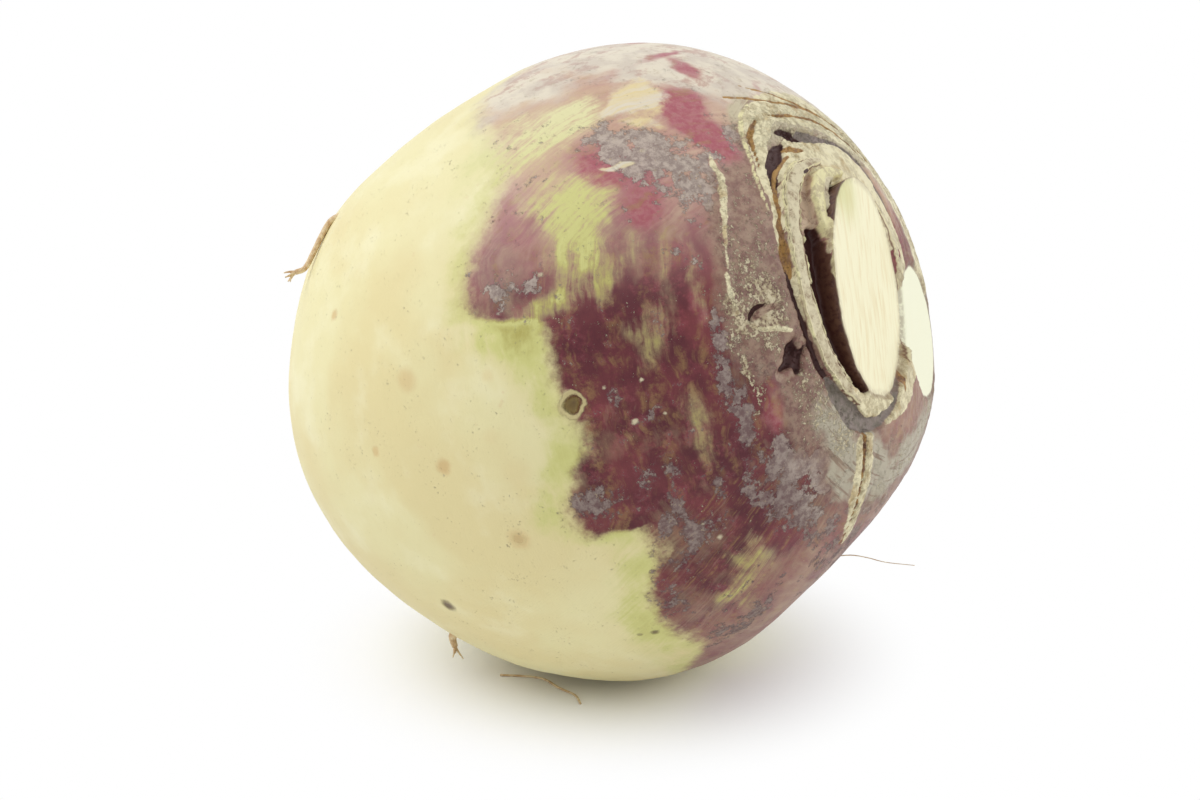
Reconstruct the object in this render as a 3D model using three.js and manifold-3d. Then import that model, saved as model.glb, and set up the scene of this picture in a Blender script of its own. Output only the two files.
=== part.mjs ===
// Rutabaga: one swollen root lying on its side, leafless crown raised towards +X, trimmed taproot behind.
// Millimetres, +Z up. The base is at z = 0 and the middle of the bounding box is over the origin.
//
// The body is shaped in its own frame first: +X runs from the middle of the root out through the crown.
// A direction from the middle is given by two angles in degrees. "polar" is measured from the crown axis,
// so the crown is 0 and the taproot 180. "turn" runs round that axis: 0 is the upper side, 90 the -Y side,
// 180 the underside.
// A point of the crown is given by two lengths across the axis: "side" towards -Y and "up" towards the
// upper side.
import * as THREE from "three";
import { mergeVertices } from "three/addons/utils/BufferGeometryUtils.js";
import Module from "manifold-3d";

// ---------------------------------------------------------------- driving dimensions

const BODY_RADIUS = 59;
const CROWN_TILT = 22; // of the crown axis above the horizontal, degrees
const REST_DEPTH = 1.1; // how much of the underside is pressed flat

// Broad swellings (+) and flats (-) of the ball: a share of the radius, fading over "spread".
const SWELLINGS = [
  { name: "flat crown", polar: 3, turn: 215, amount: -0.075, spread: 0.08 },
  { name: "root end", polar: 180, turn: 0, amount: 0.02, spread: 0.12 },
  { name: "flat upper side", polar: 108, turn: 0, amount: -0.065, spread: 0.09 },
  { name: "flat under the crown", polar: 62, turn: 185, amount: -0.105, spread: 0.09 },
  { name: "full side of the root end", polar: 150, turn: 90, amount: 0.05, spread: 0.1 },
  { name: "full back of the root end", polar: 135, turn: 25, amount: 0.025, spread: 0.08 },
];

// The trimmed taproot flares out of the root end and is cut off square.
const TAPROOT_RISE = 9;
const TAPROOT_SPREAD = 0.012;
const TAPROOT_CUT = 66; // from the middle of the body
const KNIFE_BLOCK = 200; // size of the block of air that a flat cut takes away

// Two oval stubs stand out of the crown, each cut off flat by one pull of a knife. The cut lies square to a
// direction and passes "out" millimetres along the axis at the middle of the stub.
const STUB_RISE = 5;
const STUB_WALL = 1.4;
const STUBS = [
  { name: "neck", side: 6.8, up: 1.3, across: 14.5, along: 19, lean: 20, polar: 7, turn: 190, out: 54 },
  { name: "side shoot", side: -15, up: -12, across: 12, along: 12, lean: 0, polar: 13, turn: 222, out: 51.3 },
];

// The collar of old leaf bases passes round the near side of the neck, with a moat between the two.
const COLLAR_PATH = [
  [-6, 25.5], [6, 28], [17, 26.5], [25, 16.5], [28.6, 4], [28, -7.5], [22, -15.5],
];
const COLLAR_RISE = 1;
const COLLAR_HALF_WIDTH = 0.8;
const COLLAR_SLOPE = 1;
const COLLAR_STEPS = 60;
const MOAT_DEPTH = 2;
const MOAT_WIDTH = 4.2;

// The grid of the surface: segments round the axis and rings from pole to pole, closer at both poles.
const SEGMENTS = 84;
const RINGS = 52;
const POLE_CROWDING = 0.55;

const CROWN_REACH = 60; // polar angle past which the crown's relief has ended, degrees
const MERGE_DISTANCE = 1e-3;

// ---------------------------------------------------------------- form of the body

const { degToRad, smoothstep } = THREE.MathUtils;

// Unit vector from the middle of the body at a polar angle and a turn, in degrees.
function direction(polar, turn) {
  const across = Math.sin(degToRad(polar));
  return new THREE.Vector3(
    Math.cos(degToRad(polar)),
    -across * Math.sin(degToRad(turn)),
    across * Math.cos(degToRad(turn)),
  );
}

// 1 in the direction of the axis, fading to 0 away from it.
function fade(dir, axis, spread) {
  return Math.exp((dir.dot(axis) - 1) / spread);
}

const swellings = SWELLINGS.map((s) => ({ ...s, axis: direction(s.polar, s.turn) }));
const rootAxis = direction(180, 0);

function plainRadius(dir) {
  const share = swellings.reduce((sum, s) => sum + s.amount * fade(dir, s.axis, s.spread), 1);
  return BODY_RADIUS * share + TAPROOT_RISE * fade(dir, rootAxis, TAPROOT_SPREAD);
}

// Distance of a crown point outside an oval, in millimetres, negative inside it.
function outsideOval(oval, side, up) {
  const lean = degToRad(oval.lean);
  const ds = side - oval.side;
  const du = up - oval.up;
  const across = ds * Math.cos(lean) + du * Math.sin(lean);
  const along = du * Math.cos(lean) - ds * Math.sin(lean);
  const reach = Math.hypot(across / oval.across, along / oval.along);
  return reach === 0 ? -oval.across : Math.hypot(across, along) * (1 - 1 / reach);
}

const collarPoints = new THREE.SplineCurve(
  COLLAR_PATH.map(([side, up]) => new THREE.Vector2(side, up)),
).getSpacedPoints(COLLAR_STEPS);

function collarDistance(side, up) {
  return Math.min(...collarPoints.map((p) => Math.hypot(p.x - side, p.y - up)));
}

// How far the crown's surface stands above the plain body at a crown point, before the knife.
function crownRelief(side, up) {
  const [neck, shoot] = STUBS.map((stub) => outsideOval(stub, side, up));
  const stubs = STUB_RISE * (1 - smoothstep(Math.min(neck, shoot), 0, STUB_WALL));
  const nearSide = smoothstep(side, -2, 18);
  const inMoat = smoothstep(neck, 0, STUB_WALL) * (1 - smoothstep(neck, MOAT_WIDTH - 1, MOAT_WIDTH));
  const edge = collarDistance(side, up) - COLLAR_HALF_WIDTH;
  const collar = COLLAR_RISE * (1 - smoothstep(edge, 0, COLLAR_SLOPE));
  return stubs - MOAT_DEPTH * nearSide * inMoat + collar;
}

// Radius at which a ray from the middle of the body meets the knife cut of a stub.
function cutRadius(stub, dir) {
  const normal = direction(stub.polar, stub.turn);
  return normal.dot(new THREE.Vector3(stub.out, -stub.side, stub.up)) / normal.dot(dir);
}

function surfaceRadius(dir) {
  const plain = plainRadius(dir);
  if (dir.x < Math.cos(degToRad(CROWN_REACH))) return plain;
  const side = -dir.y * plain;
  const up = dir.z * plain;
  const cuts = STUBS.filter((stub) => outsideOval(stub, side, up) < STUB_WALL);
  return Math.min(plain + crownRelief(side, up), ...cuts.map((stub) => cutRadius(stub, dir)));
}

// ---------------------------------------------------------------- geometry

// A unit sphere with its poles on the crown axis, its rings drawn together at the poles, and each vertex
// then moved out along its own direction to the surface.
function bodyGeometry() {
  const geometry = new THREE.SphereGeometry(1, SEGMENTS, RINGS);
  geometry.rotateZ(-Math.PI / 2);
  const position = geometry.getAttribute("position");
  const dir = new THREE.Vector3();
  for (let i = 0; i < position.count; i++) {
    dir.fromBufferAttribute(position, i);
    const even = Math.acos(THREE.MathUtils.clamp(dir.x, -1, 1));
    const polar = even - (POLE_CROWDING * Math.sin(2 * even)) / 2;
    const across = Math.hypot(dir.y, dir.z);
    const spread = across > 0 ? Math.sin(polar) / across : 0;
    dir.set(Math.cos(polar), dir.y * spread, dir.z * spread).normalize();
    dir.multiplyScalar(surfaceRadius(dir));
    position.setXYZ(i, dir.x, dir.y, dir.z);
  }
  return geometry;
}

// A block whose inner face lies square to "normal" at "distance" from the middle of the body.
function knifeBlock(normal, distance) {
  const block = new THREE.BoxGeometry(KNIFE_BLOCK, KNIFE_BLOCK, KNIFE_BLOCK);
  block.translate(KNIFE_BLOCK / 2 + distance, 0, 0);
  block.applyQuaternion(new THREE.Quaternion().setFromUnitVectors(new THREE.Vector3(1, 0, 0), normal));
  return block;
}

const wasm = await Module();
wasm.setup();

function toSolid(geometry) {
  const bare = geometry.clone();
  bare.deleteAttribute("normal");
  bare.deleteAttribute("uv");
  const merged = mergeVertices(bare, MERGE_DISTANCE);
  return new wasm.Manifold(
    new wasm.Mesh({
      numProp: 3,
      vertProperties: merged.getAttribute("position").array,
      triVerts: new Uint32Array(merged.index.array),
    }),
  );
}

function toGeometry(solid) {
  const { vertProperties, triVerts } = solid.getMesh();
  const geometry = new THREE.BufferGeometry();
  geometry.setAttribute("position", new THREE.BufferAttribute(vertProperties, 3));
  geometry.setIndex(new THREE.BufferAttribute(triVerts, 1));
  geometry.computeVertexNormals();
  return geometry;
}

// ---------------------------------------------------------------- the part

function rutabagaGeometry() {
  const trimmed = toSolid(bodyGeometry()).subtract(toSolid(knifeBlock(rootAxis, TAPROOT_CUT)));
  const lying = toGeometry(trimmed);
  lying.rotateY(-degToRad(CROWN_TILT));
  lying.computeBoundingBox();
  const floor = -lying.boundingBox.min.z - REST_DEPTH;
  const rested = toGeometry(
    toSolid(lying).subtract(toSolid(knifeBlock(new THREE.Vector3(0, 0, -1), floor))),
  );
  rested.computeBoundingBox();
  const middle = rested.boundingBox.getCenter(new THREE.Vector3());
  rested.translate(-middle.x, -middle.y, floor);
  return rested;
}

const skin = new THREE.MeshStandardMaterial({ color: 0xd9c68a, roughness: 0.5, metalness: 0 });

const rutabaga = new THREE.Mesh(rutabagaGeometry(), skin);
rutabaga.name = "rutabaga";

const group = new THREE.Group();
group.add(rutabaga);

export default group;
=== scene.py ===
"""Looks of the rutabaga: its skin, its scarred crown, its cut neck, its taproot and its rootlets.

The body is shaped in its own frame, in millimetres, as the CAD part is: +X runs from the middle of the root
out through the crown. A direction is given by two angles in degrees: "polar" from the crown axis, and "turn"
round it, 0 on the upper side, 90 on the -Y side and 180 on the underside. A crown point is given by "side"
(towards -Y) and "up" (towards the upper side), in millimetres across the axis.
"""

import bpy
import numpy as np
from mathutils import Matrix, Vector


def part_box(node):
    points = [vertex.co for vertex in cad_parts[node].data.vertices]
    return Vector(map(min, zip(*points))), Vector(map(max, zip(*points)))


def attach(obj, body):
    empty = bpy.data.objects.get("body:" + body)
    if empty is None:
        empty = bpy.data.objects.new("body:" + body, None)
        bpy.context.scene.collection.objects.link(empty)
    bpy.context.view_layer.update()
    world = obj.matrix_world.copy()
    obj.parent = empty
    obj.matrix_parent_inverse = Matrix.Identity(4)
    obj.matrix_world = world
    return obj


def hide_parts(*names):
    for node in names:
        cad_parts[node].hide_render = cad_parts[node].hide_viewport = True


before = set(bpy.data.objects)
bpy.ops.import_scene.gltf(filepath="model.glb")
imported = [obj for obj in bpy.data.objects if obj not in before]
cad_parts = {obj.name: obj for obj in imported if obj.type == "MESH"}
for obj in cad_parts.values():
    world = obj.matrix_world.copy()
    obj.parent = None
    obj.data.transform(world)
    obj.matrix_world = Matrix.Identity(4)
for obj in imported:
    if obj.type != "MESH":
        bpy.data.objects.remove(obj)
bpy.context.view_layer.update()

# ---------------- form, as in the CAD part

MILLIMETRE = 0.001

BODY_RADIUS = 59.0
CROWN_TILT = 22.0  # degrees that the crown axis is raised
REST_DEPTH = 1.1  # mm flattened off underneath, where the body rests

# (polar, turn, share of the radius, spread)
SWELLINGS = {
    "flat crown": (3, 215, -0.075, 0.08),
    "root end": (180, 0, 0.02, 0.12),
    "flat upper side": (108, 0, -0.065, 0.09),
    "flat under the crown": (62, 185, -0.105, 0.09),
    "full side of the root end": (150, 90, 0.05, 0.10),
    "full back of the root end": (135, 25, 0.025, 0.08),
}
TAPROOT_RISE = 9.0  # mm that the taproot would stand out if it were not cut
TAPROOT_SPREAD = 0.012
TAPROOT_CUT = 66.0  # mm along the axis

STUB_WALL = 0.9  # mm of width over which a stub's side rises
# Each is an oval on the crown, cut off by a knife that faces (polar, turn), "out" mm along the axis.
STUBS = {
    "shoot": dict(side=-15.0, up=-12.0, across=12.0, along=12.0, lean=0, polar=13, turn=222, out=51.3),
    "neck": dict(side=6.8, up=1.3, across=14.5, along=19.0, lean=20, polar=7, turn=190, out=54.0),
}
STUB_WOBBLE = 0.35  # mm that its outline wanders
SCAR_RING = dict(side=8.0, up=4.5, across=21.5, along=26.5, lean=8)
SCAR_RING_EDGE = 0.8

CROWN_REACH = 60.0  # polar angle past which there is no crown relief
CROWN_FADE = 15.0  # over how many degrees the relief dies away before that
CROWN_ROUGHNESS = 0.13  # mm
ROUGH_CROWN = (38, 50)  # polar angles between which the roughness dies away
OFF_CROWN = -20.0  # what "neck" and "shoot" are away from the crown

# ---------------- noise and small shaping functions


def direction(polar, turn):
    polar, turn = np.radians(polar), np.radians(turn)
    across = np.sin(polar)
    return np.stack([np.cos(polar) + 0 * turn, -across * np.sin(turn), across * np.cos(turn)], axis=-1)


def smooth(x, start, end):
    """0 before start, 1 past end, smooth between."""
    t = np.clip((x - start) / (end - start), 0, 1)
    return t * t * (3 - 2 * t)


class Noise:
    """Gradient noise over points, about -1 to 1, the same on every run."""

    def __init__(self, seed):
        rng = np.random.default_rng(seed)
        self.order = np.tile(rng.permutation(256), 3)
        slopes = rng.normal(size=(256, 3))
        self.slopes = slopes / np.linalg.norm(slopes, axis=1, keepdims=True)

    def layer(self, points):
        cell = np.floor(points).astype(int)
        part = points - cell
        ease = part * part * part * (part * (part * 6 - 15) + 10)
        total = np.zeros(len(points))
        for corner in np.ndindex(2, 2, 2):
            corner = np.array(corner)
            at = (cell + corner) & 255
            which = self.order[self.order[self.order[at[:, 0]] + at[:, 1]] + at[:, 2]]
            slope = np.einsum("ij,ij->i", self.slopes[which], part - corner)
            total += slope * np.prod(np.where(corner, ease, 1 - ease), axis=1)
        return total * 1.5

    def __call__(self, points, size, layers=1):
        """Noise whose largest features are about "size" across."""
        total, strength = 0, 1.0
        for k in range(layers):
            total = total + strength * self.layer(points * (2**k / size) + 17.3 * k)
            strength *= 0.5
        return total


WANDER = Noise(11)
LUMPS = Noise(23)
WARP = Noise(37)


def plain_radius(dirs):
    share = np.ones(len(dirs))
    for polar, turn, amount, spread in SWELLINGS.values():
        share += amount * np.exp((dirs @ direction(polar, turn) - 1) / spread)
    taproot = TAPROOT_RISE * np.exp((-dirs[:, 0] - 1) / TAPROOT_SPREAD)
    return BODY_RADIUS * share + taproot


def surface_point(polar, turn, out=0.0):
    """A point of the plain form, in body millimetres, "out" above it."""
    toward = direction(polar, turn)
    return toward * (plain_radius(toward[None])[0] + out)


def crown_plane(side, up, offset=0):
    """Crown points as 3-D ones, for noise to be sampled at."""
    return np.stack([side, up, 0 * side + offset], axis=1)


def outside_oval(oval, side, up):
    """Distance outside an oval in millimetres, negative inside it."""
    lean = np.radians(oval["lean"])
    ds, du = side - oval["side"], up - oval["up"]
    across = ds * np.cos(lean) + du * np.sin(lean)
    along = du * np.cos(lean) - ds * np.sin(lean)
    reach = np.hypot(across / oval["across"], along / oval["along"])
    return np.hypot(across, along) * (1 - 1 / np.maximum(reach, 1e-6))


def cut_radius(stub, dirs):
    """Radius at which each direction meets a stub's knife cut."""
    normal = direction(stub["polar"], stub["turn"])
    distance = normal @ np.array([stub["out"], -stub["side"], stub["up"]])
    facing = dirs @ normal
    return np.where(facing > 0.3, distance / np.maximum(facing, 0.3), np.inf)


# ---------------- strokes of the crown

STROKE_STEPS = 6  # how many parts the curve between two points of a path is cut into
STROKE_WANDER = [(0.32, 4, 2, 0), (0.08, 1.3, 1, 20)]  # (mm moved, size of the noise, its layers, its offset)
STROKE_TEAR = 0.2  # mm that a torn edge moves
# "gap" is a near-black tint laid in the crown's grooves, pits and hollows: painted shade over the dark maroon
# of their skin
TINTS = ("straw", "cork", "gap", "slate", "rust", "mauve", "pale", "rosy")

# Each stroke is a soft-edged band along a path of (side, up, half width). It sets the relief under it to a
# height in millimetres and its colour to a tint. Later strokes lie over earlier ones.
# (name, tint, height, width of the edge, path)
STROKES = [
    ("dusty far shoulder", "straw", 0, 3,
     [(-25, -4, 4), (-24.5, 8, 4.5), (-19, 22, 5), (-9, 32, 5), (2, 36, 3.5)]),
    ("tongue of cork", "straw", 0.5, 1.4,
     [(3, 36, 1.6), (8, 36, 2.4), (12.5, 34.3, 2.4), (16.5, 31.3, 1.8), (19.5, 28, 1.1), (22, 24.5, 0.6)]),
    ("rim of the tongue", "pale", 0.6, 1,
     [(6, 38.8, 0.1), (12, 37, 0.3), (16.5, 33.8, 0.3), (20, 29.6, 0.2), (22.8, 25, 0.2), (24.5, 21.5, 0.1)]),
    ("old scar line", "straw", 0.4, 1.6,
     [(23.4, 35.2, 0), (25.2, 31.9, 0.4), (27.2, 28.4, 0.6), (30.7, 24.3, 0.5), (34.4, 19.1, 0.2),
      (37, 14.2, 0.3), (38.6, 9.6, 0.4), (39.2, 5.4, 0)]),
    ("lips of the suture", "straw", 0.3, 3, [(20.5, -22, 2.6), (20, -30, 2.4), (18.3, -38, 1.2)]),
    ("suture", "rust", -0.35, 0.3,
     [(20.6, -20.8, 0.7), (20.5, -24, 0.5), (20.3, -28, 0.3), (19.6, -34, 0.2), (18.5, -41, 0.15)]),
    ("far scar line", "slate", -0.8, 0.5,
     [(3, 30, 1.2), (-2.5, 28, 0.6), (-7, 25.7, 0.7), (-10.5, 22.5, 1.1), (-12.3, 18.5, 0.9),
      (-13.3, 13.5, 0.9), (-13.8, 8, 0.3)]),
    ("hollow over the collar", "gap", -1.6, 0.5, [(4, 30.2, 0.8), (6, 31.4, 1.5), (8.2, 32.2, 0.5)]),
    ("torn skin over the collar", "gap", -0.9, 0.4,
     [(10, 30.2, 0.5), (13, 29.4, 1.1), (16.5, 27.6, 1.2), (19, 25.2, 0.8), (20.8, 23, 0.3)]),
    ("rust crack", "rust", -0.6, 0.4,
     [(23.8, 19.4, 0.2), (25.7, 15.8, 0.7), (27.2, 12.6, 0.8), (28.2, 10, 0.3)]),
    ("serrated crack", "gap", -0.7, 0.25,
     [(28.2, 11, 0.3), (29.2, 6, 0.4), (29.7, 0, 0.45), (29.5, -4, 0.5), (28.4, -8, 0.5)]),
    ("slate hollow", "slate", -1.2, 0.4,
     [(28, -9, 0.8), (25.8, -13, 1.5), (23.2, -16.6, 1.8), (20.4, -19.2, 1.3), (16, -20.2, 1),
      (11, -19.6, 0.9), (7, -17.8, 0.7), (4.5, -15.8, 0.8)]),
    ("fold of the old leaf bases", "mauve", -0.9, 0.4,
     [(9, 24.6, 0.3), (13.5, 22, 1), (16.5, 19, 1.9), (19.5, 15.8, 2.4), (21.5, 13, 1.8)]),
    ("moat", "gap", -2.6, 0.5,
     [(18, 15, 1.4), (20.5, 12, 2), (21.8, 8, 2.8), (22.5, 4, 3.2), (22.8, -1, 2.9), (22, -6, 2.2),
      (20.4, -10.5, 1.6), (18.5, -13.5, 0.8)]),
    ("inner fold", "gap", -1.4, 0.4,
     [(6, 20.2, 0.5), (9.5, 18.8, 0.9), (13, 15.8, 1.1), (16, 11.5, 1), (18.8, 7.5, 0.6)]),
    ("collar", "cork", 0.8, 0.6,
     [(5, 24.9, 0.4), (8.5, 25.6, 0.8), (12.5, 25.2, 1.2), (16.5, 23.4, 1.3), (19.6, 20.4, 1.3),
      (22.7, 16.4, 1.2), (25.1, 11.5, 1.1), (26.9, 6.5, 1.1), (27.7, 1.5, 1.2), (27.5, -3, 1.2),
      (26.1, -7.5, 1.1), (24.1, -11.2, 0.8), (21.6, -14.5, 0.4)]),
    ("outer rim of the collar", "pale", 1.15, 0.5,
     [(9, 26.7, 0.1), (13.5, 26.5, 0.2), (17.8, 24.5, 0.2), (20.8, 21.5, 0.15), (24, 17, 0.15),
      (26.3, 12, 0.2), (28.1, 6.5, 0.15), (28.9, 1.5, 0.2), (28.7, -3, 0.15), (27.2, -8, 0.15),
      (25, -11.8, 0.05)]),
    ("inner rim of the collar", "pale", 1, 0.45,
     [(8, 24.6, 0.05), (12, 24, 0.15), (15.5, 22.2, 0.15), (18.5, 19.3, 0.1), (21.5, 15.2, 0.1),
      (24, 10.4, 0.15), (25.7, 5.5, 0.1), (26.4, 1.2, 0.15), (26.1, -3, 0.1), (24.8, -7.2, 0.1),
      (22.8, -10.8, 0.05)]),
    ("leaf base left in the moat", "cork", -1.7, 0.4,
     [(20.2, 12.5, 0), (22.2, 8.5, 0.1), (23.8, 4, 0.05), (24.3, -0.5, 0.1), (23.6, -5, 0.05),
      (21.9, -9.5, 0)]),
    ("crease outside the collar", "rust", -0.3, 0.35,
     [(11, 28.2, 0.1), (15.5, 27.2, 0.35), (19.4, 24.6, 0.4), (22.6, 20.6, 0.35), (25.2, 16.4, 0.2)]),
    ("crease in the tongue", "rust", -0.25, 0.7,
     [(10, 35.4, 0.1), (14, 34, 0.5), (17, 31.6, 0.3), (19.4, 28.4, 0.1)]),
    ("orange slit", "rust", -0.5, 0.35, [(6.6, 28, 0.3), (8.6, 28.8, 0.6), (11, 29.3, 0.3)]),
    ("hole in the collar", "gap", 0.4, 0.3, [(10.2, 24.6, 0.2), (11.6, 24.5, 0.3)]),
    ("inner leaf base", "pale", 1.5, 0.5,
     [(2, 21, 0.4), (4.5, 22.2, 1), (8, 22.2, 1.5), (11.3, 21, 1.5), (13.7, 18.6, 1.2), (15.5, 15.8, 0.9),
      (16.9, 12.8, 0.6), (18.8, 9.6, 0.35), (20.2, 6, 0.3), (21, 2.5, 0.25)]),
    ("shade in the leaf base", "cork", 1.2, 0.5,
     [(5.5, 21.4, 0.3), (8.5, 21, 0.7), (11, 19.6, 0.7), (13, 17.4, 0.3)]),
    ("skin between the two cuts", "rosy", -0.4, 0.6,
     [(-12, 3.5, 0.5), (-9, 3.2, 1.5), (-7, 0.5, 1.1), (-5.5, -4, 0.5)]),
    ("fold beside the neck", "cork", 0.5, 0.5,
     [(-7.5, 14, 0.3), (-9.3, 8, 0.5), (-9.2, 2.5, 0.5), (-7.4, -4, 0.4), (-4.2, -10, 0.4), (-1, -14, 0.3)]),
    ("shoot's old scar", "rust", -0.4, 0.4,
     [(-2.5, -6, 0.2), (0, -10, 0.3), (2.5, -14, 0.4), (4, -18, 0.5)]),
    ("rim of the hooked scar", "straw", 0.45, 1.5,
     [(31.4, 1.6, 0.1), (33.6, 3.2, 0.5), (36, 4, 0.5), (38, 5.6, 0.1)]),
    ("hooked scar", "mauve", -0.7, 1, [(32, 6.4, 0.2), (34.4, 7.2, 0.7), (36.8, 6.4, 0.4)]),
    ("heart of the hooked scar", "gap", -1.1, 0.6, [(34, 8, 0.1), (36, 7.9, 0.4), (37.3, 6.4, 0.2)]),
    ("lips of the pit", "mauve", -0.5, 1.6, [(30.6, -0.6, 0.8), (33, -2.2, 2), (35.4, -4.2, 1.3)]),
    ("pit", "gap", -2.1, 1.1, [(32, 0.4, 0.3), (33, -1, 1.2), (33.8, -2.6, 0.9), (35.4, -3.4, 0.4)]),
    ("corner of the pit", "gap", -1.5, 0.8, [(30.6, -1.6, 0.3), (32.2, -2.6, 0.6), (32.8, -4.6, 0.5)]),
    ("far line one", "rust", -0.35, 0.4, [(-18, 26, 0.2), (-8, 33.5, 0.4), (2, 38, 0.3), (9, 41.5, 0.2)]),
    ("far line two", "rust", -0.35, 0.4, [(-22, 18, 0.2), (-15, 28, 0.4), (-6, 36, 0.3), (2, 42, 0.2)]),
    ("far line three", "rust", -0.3, 0.4, [(-17, 20, 0.2), (-10, 28.5, 0.4), (-2, 33, 0.3), (6, 35, 0.2)]),
    ("far line four", "rust", -0.3, 0.4, [(-20, 12, 0.2), (-19, 20, 0.4), (-14, 27, 0.2)]),
]


def rounded(path, steps):
    """A smooth curve through the points of a path, width included."""
    path = np.array(path, float)
    ends = np.vstack([2 * path[0] - path[1], path, 2 * path[-1] - path[-2]])
    made = []
    for a, b, c, d in zip(ends, ends[1:], ends[2:], ends[3:]):
        t = np.linspace(0, 1, steps, endpoint=False)[:, None]
        bend = (2 * a - 5 * b + 4 * c - d) * t**2 + (3 * b - a - 3 * c + d) * t**3
        made.append(0.5 * (2 * b + (c - a) * t + bend))
    return np.vstack([*made, path[-1:]])


def stroke_mask(path, edge, side, up, ragged):
    """1 on a stroke, 0 off it, with an edge of that width that "ragged" pushes in and out."""
    line = rounded(path, STROKE_STEPS)
    widest = line[:, 2].max()
    reach = widest + edge
    near = (side > line[:, 0].min() - reach) & (side < line[:, 0].max() + reach)
    near &= (up > line[:, 1].min() - reach) & (up < line[:, 1].max() + reach)
    here = np.stack([side[near], up[near]], axis=1)
    gap = np.full(len(here), np.inf)
    for a, b in zip(line, line[1:]):
        run = b[:2] - a[:2]
        t = np.clip((here - a[:2]) @ run / (run @ run), 0, 1)
        away = np.hypot(*(here - a[:2] - t[:, None] * run).T) - (a[2] + t * (b[2] - a[2]))
        gap = np.minimum(gap, away)
    mask = np.zeros(len(side))
    torn = ragged[near] * min(1, 0.3 + widest)
    mask[near] = 1 - smooth(gap + torn, -edge / 2, edge / 2)
    return mask


def paint_strokes(side, up):
    """Relief in millimetres and one mask a tint, for points of the crown."""
    here = crown_plane(side, up)
    wander_side, wander_up = (
        sum(amount * WANDER(here + offset + far, size, layers)
            for amount, size, layers, offset in STROKE_WANDER)
        for far in (0, 50)
    )
    side, up = side + wander_side, up + wander_up
    ragged = STROKE_TEAR * WANDER(here + 90, 1.5, 2)
    rise = np.zeros(len(side))
    tints = {tint: np.zeros(len(side)) for tint in TINTS}
    tints["straw"] = 1 - smooth(outside_oval(SCAR_RING, side, up), -SCAR_RING_EDGE, SCAR_RING_EDGE)
    for _, tint, height, edge, path in STROKES:
        mask = stroke_mask(path, edge, side, up, ragged)
        rise = rise * (1 - mask) + height * mask
        for name in tints:
            tints[name] = tints[name] * (1 - mask) + (name == tint) * mask
    return rise, tints


# ---------------- patches of the skin

# Where the purple shoulder ends: (turn, polar of its edge).
PURPLE_EDGE = [
    (0, 86), (15, 87), (26, 88), (34, 84), (42, 80), (46, 81), (50, 82), (54, 84), (58, 85.5), (62, 86.5),
    (65, 87), (68, 85.5), (70, 80), (71.5, 76), (74, 74.5), (78, 75), (82, 74.5), (86, 74), (90, 72.5),
    (94, 73.5), (97, 77), (100, 80), (103, 81), (106, 80.5), (109, 78.5), (111, 71), (115, 70.5),
    (119, 71.5), (121, 74), (125, 76), (130, 78), (135, 79), (140, 78), (146, 78), (152, 84), (160, 91),
    (175, 92), (190, 84), (205, 83), (225, 90), (245, 83), (262, 80), (275, 86), (290, 84), (305, 79),
    (325, 87), (345, 83), (360, 86),
]
PATCH_WARP = [(2.0, 9), (1.1, 3)]  # (degrees moved, size of the noise in mm)
EDGE_WARP = 0.5  # how far the warping noise moves that edge, as a share of how far it moves the patches

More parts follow.
